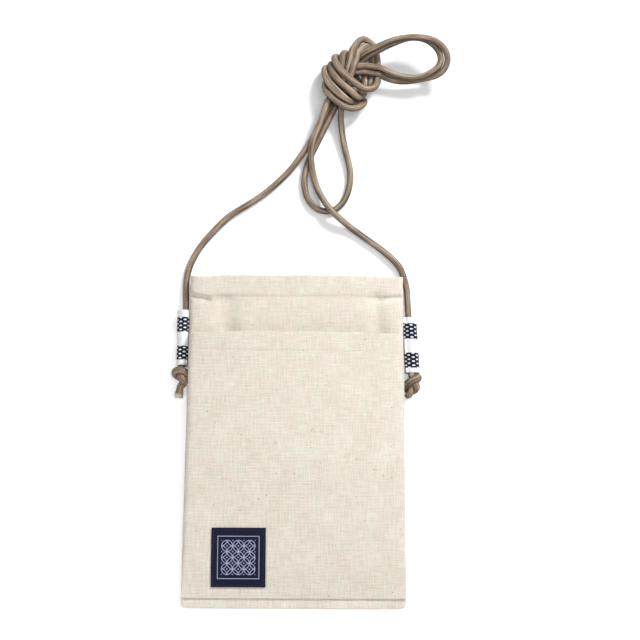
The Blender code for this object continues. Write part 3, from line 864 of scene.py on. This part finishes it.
def panel_columns():
    """Places across a panel, closer together towards its side seams."""
    seams = [(-EDGE_X, SIDE_REACH), (EDGE_X, SIDE_REACH)]
    return close_rows(-EDGE_X, EDGE_X, WIDE_STEP_X, CLOSE_STEP_X, seams)


def panel_rows(low, row, top):
    """Places along a panel, closer together at its low edge, its row of stitches and its lip."""
    fine = [(row, HEM_REACH), (top, LIP_REACH), (low, LOW_REACH)]
    return close_rows(low, top, WIDE_STEP_Y, CLOSE_STEP_Y, fine)


def sheet_grid(bm, layer, xs, ys, spot, flip=False):
    """A grid of corners at spot(x, y), joined into faces and returned by rows.

    The cloth of a flipped grid goes on past the bottom fold."""
    fold = 3 * MM
    grid = []
    for y in ys:
        along = 2 * POUCH_BOTTOM - y - fold if flip else y
        grid.append([(bm.verts.new(spot(x, y)), (x, along)) for x in xs])
    for lower, upper in zip(grid, grid[1:]):
        join(bm, layer, lower, upper)
    return grid


def round_edge(bm, layer, over, under, outward, profile):
    """Rolls the cloth from its upper face's border over to its lower face's, point by point outward.

    profile gives (how far out, how far down the edge) from the upper border to the lower one."""
    chains = []
    for (top, top_uv), (foot, foot_uv), (out_x, out_y) in zip(over, under, outward):
        chain = [((top, top_uv), (top, top_uv))]
        for out, down in profile:
            spot = top.co.lerp(foot.co, down) + Vector((out_x, out_y, 0)) * out
            vert = bm.verts.new(spot)
            reach_over, reach_under = out + down * CANVAS, out + (1 - down) * CANVAS
            chain.append((
                (vert, (top_uv[0] + out_x * reach_over, top_uv[1] + out_y * reach_over)),
                (vert, (foot_uv[0] + out_x * reach_under, foot_uv[1] - out_y * reach_under)),
            ))
        chain.append(((foot, foot_uv), (foot, foot_uv)))
        chains.append(chain)
    half = len(chains[0]) // 2
    for near, far in zip(chains, chains[1:]):
        for k in range(len(near) - 1):
            side = 0 if k < half else 1
            quad(bm, layer, (near[k][side], far[k][side], far[k + 1][side], near[k + 1][side]))
    return chains


def border(grid):
    """A grid's corners from its mouth down its left side, along its bottom and up its right side."""
    left = [line[0] for line in grid]
    right = [line[-1] for line in grid]
    return [*left[::-1], *grid[0][1:-1], *right]


def border_outward(grid):
    """Which way is outward at each corner of the border."""
    rows, across = len(grid), len(grid[0])
    slant = math.sqrt(0.5)
    side = [(-1, 0)] * (rows - 1)
    return [*side, (-slant, -slant), *[(0, -1)] * (across - 2), (slant, -slant), *[(1, 0)] * (rows - 1)]


def lobes(count, radius):
    """The edge of a seam seen end on: one round for each ply, with a valley where they meet."""
    valley = 0.12
    points = []
    for ply in range(count):
        for degrees in (55, 20, -20, -55):
            angle = math.radians(degrees)
            points.append((radius * math.cos(angle), (ply + 0.5 - math.sin(angle) / 2) / count))
        if ply < count - 1:
            points.append((radius * valley, (ply + 1) / count))
    return points


def place_on_pouch(x, y, z):
    """A point of the pouch, with its bottom corners eased round and its sides straying a little."""
    share = abs(x) / HALF_WIDTH
    low = clamped((POUCH_BOTTOM + CORNER_REACH - y) / CORNER_REACH)
    size, seed, height = SIDE_WANDER
    x += height * noise.noise(Vector((y / size, 3.7, seed))) * (x / HALF_WIDTH) ** 3
    x -= math.copysign(CORNER_INSET * low**6 * share**8, x)
    y += CORNER_RISE * share**26 * low**2
    return Vector((POUCH_X + x, y, z))


def front_waves(x, y):
    """Broad waves and creases that both faces of the main front panel share."""
    return waves(x, y, *BROAD_WAVES) + creased(x, y, MOUTH_LINES)


def front_height(x, y):
    """The outer face of the main front panel, with its hem and its row of stitches."""
    full = crown(x / EDGE_X, y) * bottom_swell(y, BODY_LOW)
    hem = HEM_RAISE * eased((y - POUCH_TOP + HEM_DEPTH) / HEM_STEP)
    relief = front_waves(x, y) + waves(x, y, *FINE_WAVES) + stitch_dip(x, y, HEM_ROW, HEM_DIP) + hem
    return SEAM_TOP + (FRONT_LEVEL - SEAM_TOP) * full + relief * min(full * 2.6, 1)


def room_front_height(x, y):
    """The inner face of the main front panel."""
    slit = SEAM_HEIGHT + FIT_GAP / 2
    full = crown(x / ROOM_HALF, y) * bottom_swell(y, POUCH_BOTTOM + SEAM_ALLOWANCE)
    return slit + (FRONT_LEVEL - CANVAS - slit) * full + front_waves(x, y) * full * 0.9


def back_height(x, y):
    """The outer face of the back, which rests on the table."""
    relief = abs(waves(x, y, *BACK_WAVES))
    lift = back_lift(x, y, EDGE_X, BODY_LOW)
    return SEAM_BOTTOM * lift + relief * (1 - lift) + BACK_LIFT_OFF


def room_back_height(x, y):
    """The inner face of the back, the floor of the room."""
    slit = SEAM_HEIGHT - FIT_GAP / 2
    return CANVAS + (slit - CANVAS) * back_lift(x, y, ROOM_HALF, POUCH_BOTTOM + SEAM_ALLOWANCE)


def lip_fall(x, y):
    """The front lip lies a little below the back lip, with a slight wave and a deeper fall near each corner."""
    near = eased((y - POUCH_TOP + LIP_REACH_BACK) / LIP_REACH_BACK)
    corner = LIP_CORNER_DROP * math.exp(-(((abs(x) - LIP_CORNER_X) / LIP_CORNER_WIDTH) ** 2))
    return ((LIP_DROP + corner) * (1 - (abs(x) / HALF_WIDTH) ** 20) + waves(x, 0, *LIP_WAVES)) * near


def folded(outer, inner, from_edge, radius):
    """Outer and inner heights drawn together to a round fold at a lip's edge."""
    share = clamped(from_edge / radius)
    keep = math.sqrt(1 - (1 - share) ** 2)
    middle = (outer + inner) / 2
    return middle + (outer - middle) * keep, middle + (inner - middle) * keep


def make_pouch(finish):
    """One strip of canvas folded at the bottom: the back and the main front panel, hemmed at the mouth."""

    def front_pair(x, y):
        return folded(front_height(x, y), room_front_height(x, y), POUCH_TOP - y, MAIN_LIP)

    def back_pair(x, y):
        return folded(back_height(x, y), room_back_height(x, y), POUCH_TOP - y, BACK_LIP)

    def front_spot(x, y):
        return place_on_pouch(x, y - lip_fall(x, y), front_pair(x, y)[0])

    def back_spot(x, y):
        return place_on_pouch(x, y, back_pair(x, y)[0])

    def room_top_spot(x, y):
        near = x * ROOM_HALF / EDGE_X
        return place_on_pouch(near, y - lip_fall(near, y), front_pair(near, y)[1])

    def room_floor_spot(x, y):
        near = x * ROOM_HALF / EDGE_X
        return place_on_pouch(near, y, back_pair(near, y)[1])

    bm, layer = cloth_mesh()
    xs = panel_columns()
    ys = panel_rows(BODY_LOW, HEM_ROW, POUCH_TOP)
    room_low = POUCH_BOTTOM + SEAM_ALLOWANCE
    room_ys = close_rows(room_low, POUCH_TOP, ROOM_STEP, CLOSE_STEP_Y, [(POUCH_TOP, LIP_REACH)])
    front = sheet_grid(bm, layer, xs, ys, front_spot)
    back = sheet_grid(bm, layer, xs, ys, back_spot, flip=True)
    room_top = sheet_grid(bm, layer, xs, room_ys, room_top_spot)
    room_floor = sheet_grid(bm, layer, xs, room_ys, room_floor_spot, flip=True)
    chains = round_edge(bm, layer, border(front), border(back), border_outward(front), lobes(2, EDGE_ROUND))
    join(bm, layer, border(room_top), border(room_floor))
    join(bm, layer, front[-1], room_top[-1])
    join(bm, layer, back[-1], room_floor[-1])
    for chain, end in ((chains[0], 0), (chains[-1], -1)):
        corners = [pair[0] for pair in chain]
        quad(bm, layer, [*corners, room_floor[-1][end], room_top[-1][end]])
    pouch = place(mesh_object("pouch_canvas", bm, finish), "canvas", "pouch_body")


def pocket_level(y):
    """Height of the pocket's inner face over the middle: it leaves the front panel at its bottom fold."""
    front = SEAM_TOP + (FRONT_LEVEL - SEAM_TOP) * bottom_swell(y, POUCH_BOTTOM)
    return front + FIT_GAP + POCKET_ROOM * tapered(y - POCKET_BOTTOM)


def pocket_relief(x, y):
    """Unevenness of the pocket's cloth, with faint ripples along its side seams."""
    near_seam = eased((abs(x) / HALF_WIDTH - 0.86) / 0.1)
    size, seed, height = RIPPLES
    ripple = waves(0, y, size, seed + math.copysign(1, x), height) * near_seam
    relief = waves(x, y, *POCKET_BROAD_WAVES) + waves(x, y, *POCKET_FINE_WAVES)
    return relief + ripple + creased(x, y, POCKET_LINES)


def pocket_height(x, y):
    """The pocket's outer face, with its hem and its row of stitches, drawn down at its bottom."""
    seat = SEAM_TOP + FIT_GAP + POCKET_SEAT
    hem = 0.6 * HEM_RAISE * eased((y - POCKET_TOP + POCKET_HEM_DEPTH) / HEM_STEP)
    sunk = POCKET_SUNK * (1 - eased((y - POCKET_LOW_EDGE) / POCKET_SUNK_REACH))
    raised = CANVAS + hem + pocket_relief(x, y) + stitch_dip(x, y, POCKET_ROW, POCKET_DIP) - sunk
    return seat + (pocket_level(y) + raised - seat) * crown(x / EDGE_X, y)


def pocket_inner_height(x, y):
    """The pocket's inner face."""
    seat = SEAM_TOP + FIT_GAP * 0.5
    full = crown(x / (HALF_WIDTH - CANVAS), y)
    return seat + (pocket_level(y) + pocket_relief(x, y) * 0.8 - seat) * full


def make_pocket(finish):
    """The patch pocket: a second piece of canvas over the front, caught in both side seams and at its bottom."""

    def spot(x, y, face):
        near = eased((y - POCKET_TOP + POCKET_LIP_REACH_BACK) / POCKET_LIP_REACH_BACK)
        lean = (POCKET_LIP_LEAN * x / HALF_WIDTH + waves(x, 0, *POCKET_LIP_WAVES)) * near
        heights = folded(pocket_height(x, y), pocket_inner_height(x, y), POCKET_TOP - y, POCKET_LIP)
        return place_on_pouch(x, y - lean, heights[face])

    bm, layer = cloth_mesh()
    xs = panel_columns()
    ys = panel_rows(POCKET_LOW_EDGE, POCKET_ROW, POCKET_TOP)
    outside = sheet_grid(bm, layer, xs, ys, lambda x, y: spot(x, y, 0))
    inside = sheet_grid(bm, layer, xs, ys, lambda x, y: spot(x, y, 1), flip=True)
    round_edge(bm, layer, border(outside), border(inside), border_outward(outside), lobes(1, POCKET_EDGE_ROUND))
    join(bm, layer, outside[-1], inside[-1])
    pocket = place(mesh_object("front_pocket_canvas", bm, finish), "canvas", "front_pocket")


def label_height(x, y):
    """The label's face: it lies on the pocket, pressed down along its sewn edge."""
    from_edge = min(LABEL_HALF_X - abs(x), LABEL_HALF_Y - abs(y))
    dip = LABEL_DIP * math.exp(-(((from_edge - LABEL_ROW_INSET) / (0.6 * MM)) ** 2))
    return pocket_height(LABEL_X + x, LABEL_Y + y) + LABEL_LIFT + waves(x, y, *LABEL_WAVES) - dip


def label_steps(half):
    """Places across or along the label, closer together towards its two edges."""
    edges = [(-half, LABEL_EDGE_REACH), (half, LABEL_EDGE_REACH)]
    return close_rows(-half, half, LABEL_STEP, CLOSE_STEP_X, edges)


def make_label():
    """The woven label with its folded edges."""

    def spot(x, y, drop):
        return place_on_pouch(LABEL_X + x, LABEL_Y + y, label_height(x, y) - drop)

    bm, layer = cloth_mesh()
    xs = label_steps(LABEL_HALF_X - LABEL_THICKNESS / 2)
    ys = label_steps(LABEL_HALF_Y - LABEL_THICKNESS / 2)
    face = sheet_grid(bm, layer, xs, ys, lambda x, y: spot(x, y, 0))
    under = sheet_grid(bm, layer, xs, ys, lambda x, y: spot(x, y, LABEL_THICKNESS))
    rims = []
    for grid in (face, under):
        rim = [*border(grid), *grid[-1][-2:0:-1]]
        rims.append([*rim, rim[0]])
    outward = [*border_outward(face), *[(0, 1)] * (len(xs) - 2)]
    slant = math.sqrt(0.5)
    outward[0], outward[len(border(face)) - 1] = (-slant, slant), (slant, slant)
    round_edge(bm, layer, *rims, [*outward, outward[0]], lobes(1, LABEL_THICKNESS / 2))
    label = place(mesh_object("woven_label", bm, label_finish()), "label_weave", "label")


def stitch_row(bm, layer, start, end, spot, pitch, length, radius):
    """Running stitches from start to end over the cloth at spot(x, y), each sunk in at its two ends."""
    start, end = Vector(start), Vector(end)
    count = int((end - start).length / pitch)
    for n in range(count):
        middle = start.lerp(end, (n + 0.5) / count)
        run = (end - start).normalized() * length / 2
        points = []
        for share in (-1, -0.8, -0.4, 0, 0.4, 0.8, 1):
            on_cloth = spot(middle.x + run.x * share, middle.y + run.y * share)
            arch = radius * (0.5 - 1.6 * share**4)
            points.append(on_cloth + Vector((0, 0, arch)))
        tube(bm, layer, np.array(points), radius * np.array([0.5, 0.85, 1, 1, 1, 0.85, 0.5]), 6)


def make_hem_stitches():
    """Ecru rows along the hem and the pocket's hem."""

    def on_hem(x, y):
        return place_on_pouch(x, y - lip_fall(x, y), front_height(x, y))

    def on_pocket(x, y):
        return place_on_pouch(x, y, pocket_height(x, y))

    ecru = thread_finish("ecru_thread", linear(222, 213, 196), linear(248, 243, 231))
    reach = EDGE_X - 1.5 * MM
    for name, row, spot in (("hem_stitches", HEM_ROW, on_hem), ("pocket_hem_stitches", POCKET_ROW, on_pocket)):
        bm, layer = cloth_mesh()
        stitch_row(bm, layer, (-reach, row), (reach, row), spot, STITCH_PITCH, STITCH_LENGTH, STITCH_RADIUS)
        place(mesh_object(name, bm, ecru), "canvas")


def make_label_stitches():
    """Fine navy rows round the label."""

    def on_label(x, y):
        return place_on_pouch(LABEL_X + x, LABEL_Y + y, label_height(x, y))

    navy = thread_finish("navy_thread", linear(10, 12, 32), linear(44, 48, 84))
    bm, layer = cloth_mesh()
    near_x, near_y = LABEL_HALF_X - LABEL_ROW_INSET, LABEL_HALF_Y - LABEL_ROW_INSET
    corners = [(-near_x, -near_y), (near_x, -near_y), (near_x, near_y), (-near_x, near_y)]
    sizes = (LABEL_STITCH_PITCH, LABEL_STITCH_LENGTH, LABEL_STITCH_RADIUS)
    for corner, after in zip(corners, corners[1:] + corners[:1]):
        stitch_row(bm, layer, corner, after, on_label, *sizes)
    place(mesh_object("label_stitches", bm, navy), "label_weave")


def tape_outline(reach):
    """The tape's middle line seen end on: from the seam, round the cord and back to the seam."""
    rise = SEAM_HEIGHT - TAPE_AXIS
    radius = CORD / 2 + TAPE_SLACK + TAPE / 2
    turn = math.atan2(rise, reach)
    bend_x, bend_z, bend_gap = reach * 0.8, rise * 0.88, TAPE / 2 + 0.1 * MM
    points = [(reach, rise + TAPE / 2, 0), (bend_x, bend_z + bend_gap, 0)]
    for k in range(TAPE_PARTS + 1):
        angle = turn + TAPE_OPENING + (2 * math.pi - 2 * TAPE_OPENING) * k / TAPE_PARTS
        points.append((radius * math.cos(angle), radius * math.sin(angle), 0))
    points += [(bend_x, bend_z - bend_gap, 0), (reach, rise - TAPE / 2, 0)]
    return spaced(through(points, 6), TAPE_OUTLINE_STEP)[:, :2]


def tape_lift(gone, down, seed):
    """How far the tape stands off its middle line: a loose wave, and a flare at its two cut edges."""
    from_edge = min(down, TAPE_WIDTH - down)
    loose = TAPE_SLACK_WAVE * noise.noise(Vector((gone / (3 * MM), down / (7 * MM), seed)))
    flare = TAPE_FLARE * math.exp(-from_edge / TAPE_FLARE_REACH) * clamped((gone - 2 * MM) / MM)
    return max(loose, -0.1 * MM) + flare


def tape_half(down):
    """Half the tape's thickness, rounded off at its two cut edges."""
    share = clamped(min(down, TAPE_WIDTH - down) / (TAPE / 2))
    return TAPE / 2 * math.sqrt(max(1 - (1 - share) ** 2, 0.0))


def make_loop(name, side, stand_off, bands, tilt, seed, opened, drop):
    """Tape wrapped round the cord as a tube, with its two ends caught in the side seam.

    opened gives how much wider it is than a plain wrap at its upper and its lower end."""
    low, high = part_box(name + "_strap_loop")
    middle_y = (low.y + high.y) / 2 - drop
    lean = math.sin(math.radians(tilt))
    outline = tape_outline(stand_off - FIT_GAP)
    normal = np.gradient(outline, axis=0)
    normal = np.stack([normal[:, 1], -normal[:, 0]], 1) / np.linalg.norm(normal, axis=1)[:, None]
    travelled = travelled_along(outline)
    bm, layer = cloth_mesh()

    def corner(across, up, out_x, out_z, gone, down, face):
        lift = face * tape_half(down) + tape_lift(gone, down, seed)
        y = TAPE_WIDTH / 2 - down
        wider = opened[0] + (opened[1] - opened[0]) * down / TAPE_WIDTH
        from_seam = (stand_off - across - out_x * lift) * wider
        z = max(TAPE_AXIS + up + out_z * lift, LEAST_HEIGHT)
        spot = (POUCH_X + side * (HALF_WIDTH + from_seam) - y * lean, middle_y + y, z)
        return bm.verts.new(spot), (gone, down)

    downs = close_rows(0, TAPE_WIDTH, TAPE_ROW, TAPE_CLOSE_ROW, [(0, MM), (TAPE_WIDTH, MM)])
    round_cord = list(zip(outline, normal, travelled))
    outside, inside = (
        [[corner(*spot, *out, gone, down, face) for spot, out, gone in round_cord] for down in downs]
        for face in (1, -1)
    )
    for grid in (outside, inside):
        for upper, lower in zip(grid, grid[1:]):
            join(bm, layer, upper, lower)
    for edge in (0, -1):
        join(bm, layer, outside[edge], inside[edge])
        join(bm, layer, [line[edge] for line in outside], [line[edge] for line in inside])
    finish = tape_finish(name + "_tape_tube_tape", bands)
    loop = place(mesh_object(name + "_tape_tube", bm, finish), "tape", name + "_strap_loop")


def add_lamp(name, place_at, aim, size, power, spread):
    """A round soft lamp."""
    data = bpy.data.lights.new(name, "AREA")
    data.shape = "DISK"
    data.size = size
    data.energy = power
    data.spread = math.radians(spread)
    lamp = bpy.data.objects.new(name, data)
    lamp.location = place_at
    lamp.rotation_euler = (Vector(aim) - Vector(place_at)).to_track_quat("-Z", "Y").to_euler()
    bpy.context.scene.collection.objects.link(lamp)


def add_table():
    """A plain white table that keeps the shadows, and glows to the camera most where the pouch lies: painted
    light that pales the pouch's own shadow on it.
    """
    bm = bmesh.new()
    bmesh.ops.create_grid(bm, x_segments=1, y_segments=1, size=TABLE_SIZE)
    mesh = bpy.data.meshes.new("table")
    bm.to_mesh(mesh)
    bm.free()
    finish = Finish(
        "white_table", Base_Color=TABLE_WHITE, Roughness=0.9, Specular_IOR_Level=0.0, Emission_Strength=1.0
    )
    along = finish.split(finish.node("ShaderNodeNewGeometry")).output("Y")
    # Painted light: the stronger glow near the pouch pales its shadow on the table.
    glow = finish.between(along, 0.05, 0.13, 0.46, 0.20)
    mesh.materials.append(finish.wear(Emission_Color=finish.looked_at() * glow))
    table = bpy.data.objects.new("table", mesh)
    table.location = (0, 0, -TABLE_DROP)
    bpy.context.scene.collection.objects.link(table)


def add_light():
    """Soft studio light: a key lamp high on the right beyond the mouth, a fill, an overhead and a pale sky."""
    sky = Sky("studio", Color=(1, 1, 1, 1))
    bpy.context.scene.world = sky.wear(Strength=sky.looked_at() * (1.0 - SKY_LIGHT) + SKY_LIGHT)
    for name, settings in LAMPS.items():
        add_lamp(name, *settings)


add_camera()
make_cord()
canvas = canvas_finish("ecru_canvas", linear(247, 242, 231), linear(214, 205, 189))
make_pouch(canvas)
make_pocket(canvas)
make_label()
make_hem_stitches()
make_label_stitches()
for loop_name, loop_settings in LOOPS.items():
    make_loop(loop_name, *loop_settings)
add_table()
add_light()
bpy.context.scene.view_settings.view_transform = "Standard"
